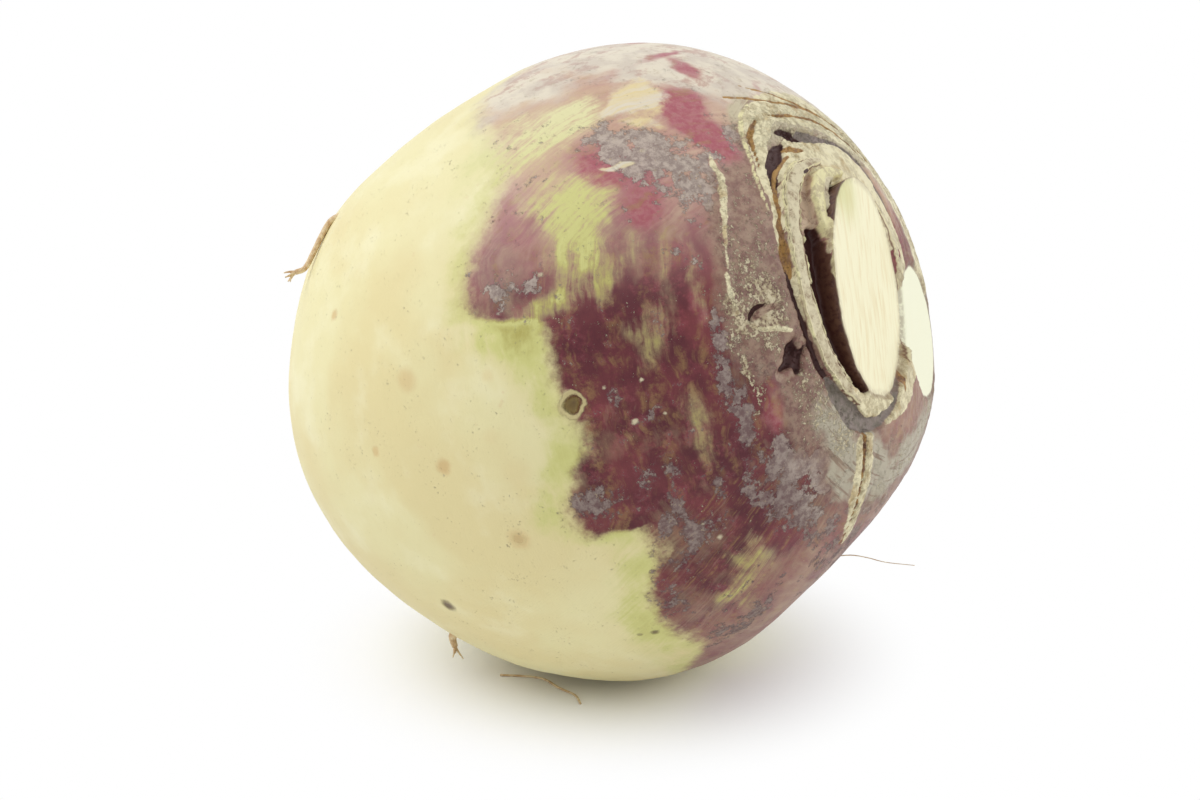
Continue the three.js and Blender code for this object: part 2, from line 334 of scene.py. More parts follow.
# Soft patches of each look: (polar, turn, reach along the axis, reach round it, lean, amount), reaches in mm.
PATCHES = {
    "green": [
        (69, 31, 5.5, 8, -25, 0.8), (74, 37, 5, 8, -35, 0.8), (67, 28.5, 4, 4, 0, 0.3),
        (79, 31, 5, 7, -20, 0.5), (66.5, 53, 4.4, 8, -12, 1.25), (65, 61, 2.8, 5.5, -15, 1),
        (71.5, 50, 4, 5, -30, 0.65), (62, 66, 2, 5, -35, 0.55), (61, 52, 2.5, 4, 0, 0.35),
        (48, 69, 1.3, 8, 0, 0.5), (52.5, 65, 1.6, 9, -5, 0.5), (57, 60, 1.6, 6, -10, 0.5),
        (57.5, 78, 3.2, 5, -15, 0.7), (54.5, 98, 2.5, 7, -10, 0.5), (68, 95, 6, 1.8, 5, 0.3),
        (70.5, 68.6, 4.5, 2, 18, 0.85), (77, 70.8, 5, 2.6, 18, 0.7), (61, 129, 3, 3.6, 0, 0.6),
        (65, 136, 5, 2, 20, 0.95), (58, 134, 2.6, 5, -20, 0.55), (64.5, 141, 2.2, 3.4, -40, 0.4),
        (53, 140, 1.5, 3, 0, 0.3), (56, 126, 1.5, 4, -30, 0.35), (70, 212, 8, 7, 0, 0.8),
        (60, 262, 6, 10, 0, 0.8), (72, 306, 6, 9, 0, 0.8), (55, 235, 3, 9, 0, 0.5),
    ],
    "fringe": [
        (86, 40, 4, 10, 0, 0.4), (77, 71.5, 5, 2.8, 18, 1.7), (83, 72, 5, 3.4, 15, 1.2),
        (78, 78, 3.4, 6, 0, 0.7), (76, 95, 3, 3.6, 0, 0.9), (83.5, 103, 2.6, 6, 0, 0.7),
        (80.5, 98, 2.5, 3, 0, 0.6), (74.5, 114, 3, 6, 0, 0.9), (78.5, 122, 3.5, 6, -20, 0.9),
        (81.5, 131, 4, 7, 0, 0.8), (82.5, 141, 4.5, 9, 0, 0.7), (85, 151, 5, 7, 0, 0.4),
        (84, 335, 6, 9, 0, 0.5), (86, 195, 4, 10, 0, 0.6), (85, 252, 4, 9, 0, 0.6), (83, 285, 4, 8, 0, 0.5),
        (86, 60, 3, 9, 0, 0.35), (76, 86, 2.5, 4, 0, 0.35),
    ],
    "scale": [
        (46, 44, 3.5, 9, 0, 1.1), (53, 40, 5, 6, 0, 1), (59, 37, 4.5, 5, 0, 0.9),
        (57, 45, 3.5, 3.5, 0, 0.7), (63, 34, 2.5, 4, 0, 0.7), (77, 46, 2.5, 3, 0, 0.55),
        (72.5, 63.5, 3, 3, 0, 0.75), (79.5, 63.5, 3, 3.2, 0, 0.95), (41, 26, 2.6, 5, 45, 0.95),
        (45.5, 80, 2, 6, 0, 0.9), (47, 92, 2, 6, 0, 0.85), (48.5, 103, 2, 5, 0, 0.85),
        (41, 92, 2, 6, 0, 0.55), (75, 103.5, 5, 4, 0, 1.15), (62.5, 103, 3, 2.4, 0, 0.7),
        (60.5, 92, 0.9, 2.2, 0, 0.8), (66.5, 88, 0.8, 3.5, 0, 0.7), (56.5, 112, 1.8, 3, 0, 0.8),
        (64.5, 113, 2.2, 3.5, 0, 0.8), (63, 118, 5, 3.5, 0, 0.75), (68, 121.5, 4, 2.5, 0, 0.65),
        (54, 107.5, 1.4, 1.6, 0, 0.8), (52, 117, 1.6, 4, 0, 0.7), (43, 114, 4, 4, 0, 0.75),
        (47, 117, 3, 4, 0, 0.85), (42, 123, 5, 4, 0, 0.9), (47, 132, 3.5, 5, 0, 1),
        (40, 132, 4, 5, 0, 0.95), (50, 126, 2.5, 4, 0, 0.8), (73.5, 130, 3, 5, 0, 0.65),
        (66, 145, 6, 5, 0, 0.75), (75, 147, 6, 5, 0, 0.6), (48, 143, 4, 5, 0, 0.55),
        (38, 155, 7, 7, 0, 0.8), (52, 160, 8, 8, 0, 0.75), (50, 187, 9, 12, 0, 0.8),
        (68, 180, 5, 6, 0, 0.7), (62, 235, 7, 9, 0, 0.8), (46, 250, 6, 9, 0, 0.8), (48, 288, 7, 12, 0, 0.8),
        (72, 278, 5, 6, 0, 0.8), (58, 325, 7, 8, 0, 0.8),
    ],
    "cork": [
        (41, 60, 3, 14, 0, 0.45), (42, 78, 2.5, 7, 0, 0.6), (35, 60, 6, 16, 0, 0.4),
        (36.5, 79, 3.5, 6, 0, 1.2), (43.5, 92, 1.2, 7, 0, 0.8), (45.2, 102, 1, 5, -12, 0.8),
        (34, 106, 5, 12, 0, 0.6), (33, 128, 5, 9, 0, 0.6), (38, 20, 5, 7, 0, 0.5), (35, 5, 6, 9, 0, 0.5),
        (33, 345, 7, 16, 0, 0.7), (30, 310, 7, 16, 0, 0.7), (30, 265, 6, 14, 0, 0.7),
        (30, 215, 6, 12, 0, 0.7), (33, 170, 7, 10, 0, 0.6),
    ],
    "dust": [
        (37, 46, 9, 12, 0, 1), (37, 66, 8, 12, 0, 1), (36, 88, 8, 12, 0, 1), (35, 110, 8, 14, 0, 0.8),
        (35, 138, 9, 14, 0, 0.8), (34, 168, 8, 14, 0, 0.8), (34, 205, 8, 14, 0, 0.8),
        (34, 240, 8, 14, 0, 0.8), (34, 280, 8, 14, 0, 0.8), (36, 25, 7, 8, 0, 0.8),
    ],
    "husk": [
        (35, 128, 4.5, 8, 0, 1), (36, 140, 5, 6, 0, 1), (33, 115, 3, 6, 0, 0.7),
        (33, 155, 5, 8, 0, 0.9), (33, 175, 5, 9, 0, 0.9), (30, 200, 5, 9, 0, 0.7), (36, 8, 6, 9, 0, 1.1),
        (32, -14, 8, 10, 0, 1.1), (30, -45, 8, 13, 0, 1.1), (28, -80, 8, 14, 0, 1.1),
        (26, -115, 7, 12, 0, 0.9), (41, 13, 3.5, 4, 0, 0.9),
    ],
    "rosy": [
        (50.5, 24.5, 3.4, 6, 54, 1.8), (45, 31, 3, 5.5, 50, 1.8), (62, 8, 2, 8, -20, 0.9),
        (53, 6, 2.5, 6, 50, 1.2), (59, -2, 1.6, 6, -10, 1), (69, -14, 2.2, 9, -20, 1.1),
        (44, -6, 2, 6, 20, 0.9), (63, 43, 5, 5, 0, 0.7), (55, 53, 5, 4, 0, 0.7), (42, 104, 3.5, 6, 0, 0.9),
        (48.5, 76, 2.5, 9, 0, 0.6), (75, 52, 4, 5, 0, 0.4), (56, 43, 7, 7, 0, 0.6), (50, 205, 7, 8, 0, 0.8),
        (66, 290, 7, 8, 0, 0.7), (45, 330, 6, 7, 0, 0.6),
    ],
    "deep": [
        (62, 73, 6, 7, 0, 1), (68, 80, 6, 7, 0, 0.9), (57, 87, 7, 6, 0, 1), (51, 101, 2.5, 10, 0, 0.8),
        (66, 104, 8, 5, 0, 0.8), (54, 122, 3, 10, 0, 0.7), (74, 65, 4, 3.5, 0, 0.7),
        (47, 62, 1.5, 8, 0, 0.5), (65, 195, 10, 12, 0, 0.7), (58, 275, 9, 12, 0, 0.8),
        (60, 240, 8, 8, 0, 0.6),
    ],
    "faded": [
        (74, 0, 20, 15, 0, 1.1), (48, -14, 18, 16, 0, 1.2), (46, 4, 5, 7, 0, 0.6), (82, 18, 9, 6, 0, 0.8),
        (57, 12, 10, 6, 0, 1), (60, 335, 14, 12, 0, 0.9), (40, -45, 12, 14, 0, 1.1),
        (36, -80, 10, 16, 0, 0.9), (78, 23, 8, 4, 0, 0.55), (85, 30, 7, 7, 0, 0.5),
    ],
    "amber": [
        (58, 22, 4.5, 5, 0, 1.1), (62.5, 27.5, 1.2, 4.5, -35, 0.8), (33, -12, 3, 5, 0, 0.5),
        (56, 30, 4, 1.6, 0, 0.6), (59.9, 42.6, 2.6, 0.5, 12, 1.3), (54.8, 38.6, 2.2, 0.5, 12, 0.9),
    ],
}


def warped(dirs, polar, turn):
    """The same angles pushed about by noise, so that patches get an organic outline."""
    points = dirs * BODY_RADIUS
    shift = [sum(amount * WARP(points + far, size, 2) for amount, size in PATCH_WARP) for far in (0, 200)]
    across = np.maximum(np.sin(np.radians(polar)), 0.1)
    return polar + shift[0], turn + shift[1] / across


def patch_level(patches, polar, turn):
    """How strongly a look's patches reach each point."""
    level = np.zeros(len(polar))
    for at_polar, at_turn, reach_polar, reach_turn, lean, amount in patches:
        ring = BODY_RADIUS * np.sin(np.radians(at_polar))
        down = np.radians(polar - at_polar) * BODY_RADIUS
        round_it = np.radians((turn - at_turn + 180) % 360 - 180) * ring
        tip = np.radians(lean)
        a = down * np.cos(tip) + round_it * np.sin(tip)
        b = round_it * np.cos(tip) - down * np.sin(tip)
        level += amount * np.exp(-((a / reach_polar) ** 2) - (b / reach_turn) ** 2)
    return level


# ---------------- the skin's mesh

# (first polar angle, last, step): finest over the scars of the crown
RING_BANDS = [(0, 8, 1), (8, 14, 0.5), (14, 34, 0.25), (34, 50, 0.5), (50, 100, 0.9), (100, 165, 1.25),
              (165, 180, 0.75)]
SEGMENTS = 360
FRONT = 85.0  # the turn round which they stand closest
FRONT_CROWDING = 0.42  # how much closer

# How far the skin's streaks have drifted off the rings: (turn, degrees of polar). Between entries they lean.
STREAK_DRIFT = [(0, 0), (12, 0), (58, -42), (112, -48), (142, -118), (180, -118), (320, 0), (360, 0)]

SWELL, FINE_SWELL, WRINKLE = 0.4, 0.07, 0.45  # mm
WRINKLED_END = (152, 172)  # polar angles over which the wrinkles of the root end come up

# Ring-shaped scars of side roots: (polar, turn, ring radius in mm, how dark the middle is)
RING_SCARS = [(72.2, 86.0, 2.1, 1.0), (90.0, 105.2, 1.2, 0.15), (101, 232, 1.6, 0.5), (88, 300, 1.4, 0.3)]
SCAR_RIM_HEIGHT, SCAR_RIM_WIDTH, SCAR_DEPTH = 0.55, 0.8, 0.5  # mm, of the first of them
# (polar, turn, radius, height)
WARTS = [(79.6, 64.2, 1.6, 0.5), (72.5, 62.3, 1.2, 0.35), (79.8, 47.7, 1.1, 0.3), (74, 52, 0.9, 0.3)]


def stub_outlines(side, up):
    """How far outside each stub's oval each point is."""
    wobble = STUB_WOBBLE * WANDER(crown_plane(side, up, 9), 5, 3)
    return {name: outside_oval(stub, side, up) + wobble for name, stub in STUBS.items()}


def lump_relief(dirs, polar):
    """Gentle swells, a fine unevenness, and wrinkles round the root end."""
    points = dirs * BODY_RADIUS
    swells = SWELL * LUMPS(points, 26, 2) + FINE_SWELL * LUMPS(points + 90, 5, 2)
    stretched = np.stack([polar, 6 * dirs[:, 1], 6 * dirs[:, 2]], axis=1)
    return swells + WRINKLE * LUMPS(stretched, 3.2, 2) * smooth(polar, *WRINKLED_END)


def wart_relief(points):
    """Warts, and the raised ring and the hollow of the largest ring scar."""
    total = np.zeros(len(points))
    for polar, turn, radius, height in WARTS:
        away = np.linalg.norm(points - surface_point(polar, turn), axis=1)
        total += height * np.exp(-((away / radius) ** 2))
    polar, turn, radius, _ = RING_SCARS[0]
    away = np.linalg.norm(points - surface_point(polar, turn), axis=1)
    ring = SCAR_RIM_HEIGHT * np.exp(-(((away - radius) / SCAR_RIM_WIDTH) ** 2))
    return total + ring - SCAR_DEPTH * np.exp(-((away / (0.6 * radius)) ** 2))


def grid_angles():
    """Polar angle and turn of each point of the skin's grid, and how many rings it has."""
    rings = np.concatenate([np.arange(first, last - 1e-6, step) for first, last, step in RING_BANDS])[1:]
    even = np.arange(SEGMENTS) * 360 / SEGMENTS
    turns = (even - np.degrees(FRONT_CROWDING * np.sin(np.radians(even - FRONT)))) % 360
    polar = np.concatenate([[0.0], np.repeat(rings, SEGMENTS), [180.0]])
    turn = np.concatenate([[0.0], np.tile(turns, len(rings)), [0.0]])
    return polar, turn, len(rings)


def shaped_radius(dirs, polar, plain, relief, outlines):
    """The skin's radius with its lumps, warts, crown relief, stubs and taproot cut."""
    radius = plain + lump_relief(dirs, polar) + relief + wart_relief(dirs * plain[:, None])
    rough = CROWN_ROUGHNESS * LUMPS(dirs * BODY_RADIUS + 40, 1.6, 2)
    radius += rough * (1 - smooth(polar, *ROUGH_CROWN))
    for name, outside in outlines.items():
        on_stub = (1 - smooth(outside, 0, STUB_WALL)) * (polar < CROWN_REACH)
        cut = np.where(on_stub > 0, cut_radius(STUBS[name], dirs), 0)
        radius = radius * (1 - on_stub) + cut * on_stub
    return np.minimum(radius, TAPROOT_CUT / np.maximum(-dirs[:, 0], 0.5))


def shape_skin():
    """Body points of the skin's grid, its count of rings, and what the materials need at each point."""
    polar, turn, rings = grid_angles()
    dirs = direction(polar, turn)
    plain = plain_radius(dirs)
    side, up = -dirs[:, 1] * plain, dirs[:, 2] * plain
    crown = 1 - smooth(polar, CROWN_REACH - CROWN_FADE, CROWN_REACH)
    outlines = stub_outlines(side, up)
    relief, tints = paint_strokes(side, up)
    points = dirs * shaped_radius(dirs, polar, plain, relief * crown, outlines)[:, None]

    near_polar, near_turn = warped(dirs, polar, turn)
    fields = {name: patch_level(patches, near_polar, near_turn) for name, patches in PATCHES.items()}
    edge = np.interp((turn + EDGE_WARP * (near_turn - turn)) % 360, *np.array(PURPLE_EDGE, float).T)
    fields["purple"] = np.radians(edge - polar - EDGE_WARP * (near_polar - polar)) * BODY_RADIUS
    for name, mask in tints.items():
        fields["tint_" + name] = mask * crown
    for name, outside in outlines.items():
        fields[name] = np.where(polar < CROWN_REACH, -outside, OFF_CROWN)
    around = dirs[:, 1:] / np.maximum(np.sin(np.radians(polar)), 1e-3)[:, None]
    drift = np.interp(turn, *np.array(STREAK_DRIFT, float).T)
    vectors = {
        "place": points,
        "crown": crown_plane(side, up),
        "around": np.stack([around[:, 0], around[:, 1], polar], axis=1),
        "swirl": np.stack([polar + drift, around[:, 0], around[:, 1]], axis=1),
    }
    return points, rings, fields, vectors


def grid_faces(rings):
    """Quads between the rings, and triangles round the two poles."""
    ring = 1 + np.arange(rings * SEGMENTS).reshape(rings, SEGMENTS)
    onward = np.roll(ring, -1, axis=1)
    quads = np.stack([ring[:-1], ring[1:], onward[1:], onward[:-1]], axis=-1).reshape(-1, 4)
    last = rings * SEGMENTS + 1
    caps = [(0, a, b) for a, b in zip(ring[0], onward[0])]
    caps += [(last, b, a) for a, b in zip(ring[-1], onward[-1])]
    return [tuple(q) for q in quads.tolist()] + [tuple(int(i) for i in cap) for cap in caps]


class Stance:
    """How the body stands in the row frame: tilted, resting on its flat spot, centred, and in metres."""

    def __init__(self, points, low, high):
        tilt = np.radians(CROWN_TILT)
        self.turned = np.array([[np.cos(tilt), 0, -np.sin(tilt)], [0, 1, 0], [np.sin(tilt), 0, np.cos(tilt)]])
        stood = points @ self.turned.T
        floor = stood[:, 2].min() + REST_DEPTH
        tall = stood[:, 2].max() - floor
        self.scale = (high.z - low.z) / tall
        middle = (stood.min(axis=0) + stood.max(axis=0)) / 2
        self.shift = np.array([-middle[0], -middle[1], -floor])
        self.base = np.array([(low.x + high.x) / 2, (low.y + high.y) / 2, low.z])

    def place(self, points):
        placed = (np.atleast_2d(points) @ self.turned.T + self.shift) * self.scale + self.base
        placed[:, 2] = np.maximum(placed[:, 2], self.base[2])
        return placed


def make_mesh(name, points, faces):
    mesh = bpy.data.meshes.new(name)
    mesh.from_pydata(points.tolist(), [], faces)
    mesh.update()
    mesh.shade_smooth()
    thing = bpy.data.objects.new(name, mesh)
    bpy.context.scene.collection.objects.link(thing)
    return thing


def store_fields(thing, fields, vectors):
    for name, values in fields.items():
        layer = thing.data.attributes.new(name, "FLOAT", "POINT")
        layer.data.foreach_set("value", np.asarray(values, np.float32))
    for name, values in vectors.items():
        layer = thing.data.attributes.new(name, "FLOAT_VECTOR", "POINT")
        layer.data.foreach_set("vector", np.asarray(values, np.float32).ravel())


# ---------------- rootlets

# Points along each root, in body angles: (polar, turn, out in mm)
SIDE_ROOT = [(122.8, 27.5, -0.6), (123.9, 29.5, 0.5), (125.2, 33, 0.7), (126.5, 36.8, 0.9), (127.8, 40, 1.4),
             (128.4, 41.2, 2.8)]
LOWER_ROOT = [(132.5, 146.5, -1.5), (133, 147.5, 0.6), (133.5, 149, 1.6), (133, 150.5, 2.8)]
ROOT_HAIR = [(58, 177, -0.5), (55.9, 178.8, 1.8), (54.7, 180.1, 4.3), (53.7, 181.4, 7.4), (51.9, 183.5, 11.7)]
# (path, radius at its start and at its end in mm, how many fibres its torn end has)
ROOTS = [(SIDE_ROOT, 0.6, 0.5, 8), (LOWER_ROOT, 1.0, 0.6, 5), (ROOT_HAIR, 0.11, 0.06, 0)]
FIBRE_LENGTH, FIBRE_RADIUS, FIBRE_TIP, FIBRE_SEED = 2.2, 0.35, 0.1, 5
FIBRE_SPREAD, FIBRE_BEND = 0.4, 0.25
# Points of the thread on the floor under the body, from the body's centre, in the row frame in mm
FLOOR_THREAD = [(-15.9, -20.8), (-11.5, -19.4), (-7.6, -19.2), (-3.5, -21.6), (0.7, -23.5), (3.2, -26.5)]
THREAD_RADIUS = 0.22
CURVE_STEPS = 5


def tube(path, radii, sides=8):
    """A closed thin tube along a path: its points and faces."""
    path = np.asarray(path, float)
    runs = np.gradient(path, axis=0)
    runs /= np.linalg.norm(runs, axis=1, keepdims=True)
    points, faces = [], []
    across = np.cross(runs[0], [0.3, 0.2, 0.9])
    for at, run, radius in zip(path, runs, radii):
        across = across - run * (across @ run)
        across /= np.linalg.norm(across)
        other = np.cross(run, across)
        for k in range(sides):
            angle = 2 * np.pi * k / sides
            points.append(at + radius * (np.cos(angle) * across + np.sin(angle) * other))
    count = len(path)
    for i in range(count - 1):
        for k in range(sides):
            a, b = i * sides + k, i * sides + (k + 1) % sides
            faces.append((a, b, b + sides, a + sides))
    faces.append(tuple(range(sides - 1, -1, -1)))
    faces.append(tuple(range((count - 1) * sides, count * sides)))
    return points, faces


def loose_ends(start, toward, count):
    """Short frayed fibres from a torn end, as paths."""
    rng = np.random.default_rng(FIBRE_SEED)
    toward = toward / np.linalg.norm(toward)
    paths = []
    for _ in range(count):
        lean = toward + FIBRE_SPREAD * rng.normal(size=3)
        lean /= np.linalg.norm(lean)
        bend = FIBRE_BEND * rng.normal(size=3)
        reach = FIBRE_LENGTH * rng.uniform(0.5, 1)
        along = np.linspace(-0.1, 1, 6)[:, None]
        paths.append(start + lean * reach * along + bend * reach * along * along)
    return paths


def make_rootlets(stance):
    """The dried side root with its frayed end, the torn lower root, a hair, and the thread under the body."""
    points, faces = [], []

    def add(path, start_radius, end_radius):
        made, sides = tube(path, np.linspace(start_radius, end_radius, len(path)))
        faces.extend(tuple(i + len(points) for i in face) for face in sides)
        points.extend(made)

    for angles, thick, thin, fibres in ROOTS:
        path = rounded([surface_point(*at) for at in angles], CURVE_STEPS)
        add(path, thick, thin)
        for fibre in loose_ends(path[-1], path[-1] - path[-4], fibres):
            add(fibre, FIBRE_RADIUS, FIBRE_TIP)
    standing = stance.place(np.array(points))

    centre = stance.place(np.zeros(3))[0]
    radius = THREAD_RADIUS * stance.scale
    thread = rounded([(x, y, 0) for x, y in FLOOR_THREAD], CURVE_STEPS) * stance.scale
    thread += [centre[0], centre[1], radius]
    made, sides = tube(thread, np.full(len(thread), radius))
    faces.extend(tuple(i + len(standing) for i in face) for face in sides)
    return make_mesh("rootlets", np.vstack([standing, made]), faces)


# ---------------- node building


class Nodes:
    """Adds shader nodes to one material or world and wires them up."""

    def __init__(self, owner):
        owner.use_nodes = True
        self.tree = owner.node_tree
        self.tree.nodes.clear()

    def add(self, kind, **settings):
        node = self.tree.nodes.new("ShaderNode" + kind)
        for name, value in settings.items():
            setattr(node, name, value)
        return node

    def feed(self, socket, value):
        if isinstance(value, bpy.types.NodeSocket):
            self.tree.links.new(value, socket)
        else:
            socket.default_value = value

    def field(self, name):
        return self.add("Attribute", attribute_name=name).outputs["Fac"]

    def vector(self, name):
        return self.add("Attribute", attribute_name=name).outputs["Vector"]

    def part(self, vector, axis):
        node = self.add("SeparateXYZ")
        self.feed(node.inputs[0], vector)
        return node.outputs[axis]

    def math(self, operation, *values):
        node = self.add("Math", operation=operation)
        for socket, value in zip(node.inputs, values):
            self.feed(socket, value)
        return node.outputs[0]

    def chain(self, operation, first, *others):
        """The same sum over several values, taken one after another."""
        for other in others:
            first = self.math(operation, first, other)
        return first

    def plus(self, *values):
        return self.chain("ADD", *values)

    def minus(self, a, b):
        return self.math("SUBTRACT", a, b)

    def times(self, *values):
        return self.chain("MULTIPLY", *values)

    def highest(self, *values):
        return self.chain("MAXIMUM", *values)

    def swing(self, noise, amount):
        """A 0 to 1 noise turned into one that swings by "amount" either way about zero."""
        return self.math("MULTIPLY_ADD", noise, 2 * amount, -amount)

    def raised(self, height, mask, amount):
        """A height with an amount more where a mask is 1."""
        return self.math("MULTIPLY_ADD", mask, amount, height)

    def vector_math(self, operation, a, b=(0, 0, 0)):
        node = self.add("VectorMath", operation=operation)
        self.feed(node.inputs[0], a)
        self.feed(node.inputs[1], b)
        return node.outputs["Value" if operation in ("DISTANCE", "LENGTH") else "Vector"]

    def turned(self, vector, degrees):
        node = self.add("VectorRotate", rotation_type="Z_AXIS")
        self.feed(node.inputs["Vector"], vector)
        node.inputs["Angle"].default_value = np.radians(degrees)
        return node.outputs[0]

    def noise(self, vector, size, detail=3.0, rough=0.55):
        """Noise from 0 to 1, about 0.5, whose features are about "size" units of the vector."""
        node = self.add("TexNoise", noise_dimensions="3D")
        self.feed(node.inputs["Vector"], vector)
        node.inputs["Scale"].default_value = 1 / size
        node.inputs["Detail"].default_value = detail
        node.inputs["Roughness"].default_value = rough
        return node.outputs["Fac"]

    def step(self, value, start, end, low=0.0, high=1.0):
        """A smooth step of a value, low at start and high at end. It falls where start is past end."""
        node = self.add("MapRange", interpolation_type="SMOOTHSTEP")
        settings = {"Value": value, "From Min": start, "From Max": end, "To Min": low, "To Max": high}
        for name, amount in settings.items():
            self.feed(node.inputs[name], amount)
        return node.outputs["Result"]

    def mix(self, factor, a, b):
        """A colour between a and b."""
        node = self.add("Mix", data_type="RGBA", clamp_factor=True)
        self.feed(node.inputs[0], factor)
        self.feed(node.inputs[6], (*a, 1.0) if isinstance(a, tuple) else a)
        self.feed(node.inputs[7], (*b, 1.0) if isinstance(b, tuple) else b)
        return node.outputs[2]

    def over(self, color, tone, value, start, end, most=1.0):
        """A colour with a tone laid over it: not at all where a value is at start, and "most" at end."""
        return self.mix(self.step(value, start, end, 0.0, most), color, tone)

    def blend(self, factor, a, b):
        """A number between a and b."""
        node = self.add("Mix", data_type="FLOAT", clamp_factor=True)
        self.feed(node.inputs[0], factor)
        self.feed(node.inputs[2], a)
        self.feed(node.inputs[3], b)
        return node.outputs[0]

    def shown(self):
        """1 on rays that show the picture's background, 0 on those that light the object."""
        rays = self.add("LightPath").outputs
        return self.highest(rays["Is Camera Ray"], rays["Is Glossy Ray"], rays["Is Transmission Ray"])

    def finish(self, color, roughness, height, distance, specular=0.5):
        """A Principled surface with these looks. A height of 1 stands "distance" metres proud."""
        bump = self.add("Bump")
        bump.inputs["Strength"].default_value = 1.0
        bump.inputs["Distance"].default_value = distance
        self.feed(bump.inputs["Height"], height)
        shader = self.add("BsdfPrincipled")
        shader.inputs["Specular IOR Level"].default_value = specular
        self.feed(shader.inputs["Base Color"], color)
        self.feed(shader.inputs["Roughness"], roughness)
        self.feed(shader.inputs["Normal"], bump.outputs[0])
        output = self.add("OutputMaterial")
        self.feed(output.inputs["Surface"], shader.outputs[0])


class SkinNodes(Nodes):
    """Nodes with the values that all the skin's looks share."""

    def __init__(self, owner):
        super().__init__(owner)
        self.place = self.vector("place")
        self.front = self.part(self.vector("swirl"), "Z")  # 1 on the upper side, -1 underneath
        # upper: 0 underneath to 1 on the upper side; the looks below use it to lay lighter tones on the upper
        # side, which is painted light
        self.upper = self.step(self.front, -0.3, 0.75)
        self.streaks = self.drawn_out(0.5, 3.6, 5, 0.62)
        self.lines = self.drawn_out(1.6, 6, 3, 0.6)
        self.blotches = self.mottle(7, 5, 0.6)
        self.fine = self.mottle(1.2, 4, 0.65)
        ragged = self.plus(self.swing(self.blotches, 3.4), self.swing(self.fine, 2.0))
        self.edge = self.plus(self.field("purple"), ragged)  # mm inside the purple, negative in the cream

    def mottle(self, size, detail=3.0, rough=0.55):
        """Noise over the body, in millimetres."""
        return self.noise(self.place, size, detail, rough)

    def drawn_out(self, across, round_it, detail, rough):
        """Noise stretched round the crown's axis, as the skin's streaks run, with a little wander."""
        wander = self.add("CombineXYZ")
        self.feed(wander.inputs[0], self.times(self.mottle(9), 3.5))
        space = self.vector_math("MULTIPLY", self.vector("swirl"), (across, round_it, round_it))
        return self.noise(self.vector_math("ADD", space, wander.outputs[0]), 1.0, detail, rough)

    def away(self, polar, turn, ragged):
        """Distance from a point of the plain form, made uneven."""
        point = tuple(surface_point(polar, turn).tolist())
        return self.plus(self.vector_math("DISTANCE", self.place, point), ragged)


# ---------------- materials

CREAM = (0.78, 0.72, 0.41)
CREAM_WARM = (0.75, 0.655, 0.35)
CREAM_LIGHT = (0.86, 0.82, 0.56)
SMUDGE = (0.60, 0.38, 0.16)
DARK_BROWN = (0.11, 0.06, 0.03)
HOLLOW_OLIVE = (0.21, 0.145, 0.045)
WINE_DEEP = (0.088, 0.014, 0.022)
WINE = (0.165, 0.034, 0.040)
ROSY = (0.28, 0.058, 0.074)
OLIVE_BROWN = (0.33, 0.21, 0.08)
LEAF_DEEP = (0.42, 0.375, 0.10)
LEAF = (0.62, 0.61, 0.235)
LEAF_PALE = (0.73, 0.70, 0.40)
SCALE_DARK = (0.15, 0.095, 0.092)
SCALE_GREY = (0.28, 0.225, 0.20)
SCALE_LIGHT = (0.51, 0.435, 0.37)
FADED = (0.73, 0.67, 0.54)
FADED_PINK = (0.50, 0.33, 0.27)
FADED_MAUVE = (0.50, 0.43, 0.37)
AMBER = (0.74, 0.62, 0.33)
CORK_LIGHT = (0.66, 0.59, 0.40)
CORK_TAN = (0.44, 0.36, 0.225)
CORK_RIM = (0.76, 0.69, 0.44)
STRAW = (0.45, 0.38, 0.225)
STRAW_LIGHT = (0.78, 0.71, 0.47)
AMBER_BROWN = (0.45, 0.31, 0.13)
FOLD = (0.22, 0.105, 0.085)
FOLD_LIGHT = (0.60, 0.46, 0.33)
CORK_BROWN = (0.17, 0.085, 0.05)
# near-black of the "gap" tint: painted shade in grooves and pits, over their dark maroon skin
GAP_SHADE = (0.05, 0.014, 0.012)
SLATE = (0.17, 0.145, 0.11)
RUST = (0.42, 0.24, 0.075)
DUSTY_MAUVE = (0.185, 0.10, 0.08)
DUST = (0.33, 0.23, 0.165)
HUSK = (0.55, 0.49, 0.335)
HUSK_GREY = (0.45, 0.41, 0.31)
ROSE_PALE = (0.50, 0.25, 0.245)
CRIMSON = (0.36, 0.085, 0.115)
ROSE_DULL = (0.28, 0.088, 0.105)
FLESH = (0.90, 0.855, 0.60)
FLESH_FIBRE = (0.80, 0.69, 0.42)
FLESH_GREEN = (0.60, 0.60, 0.25)
FACET = (0.87, 0.87, 0.66)
SCAR_RIM = (0.60, 0.52, 0.26)
ROOT_CORE = (0.46, 0.36, 0.22)
ROOTLET_DARK = (0.56, 0.36, 0.18)
ROOTLET_LIGHT = (0.82, 0.68, 0.44)

MARK_SOFTNESS = 0.6
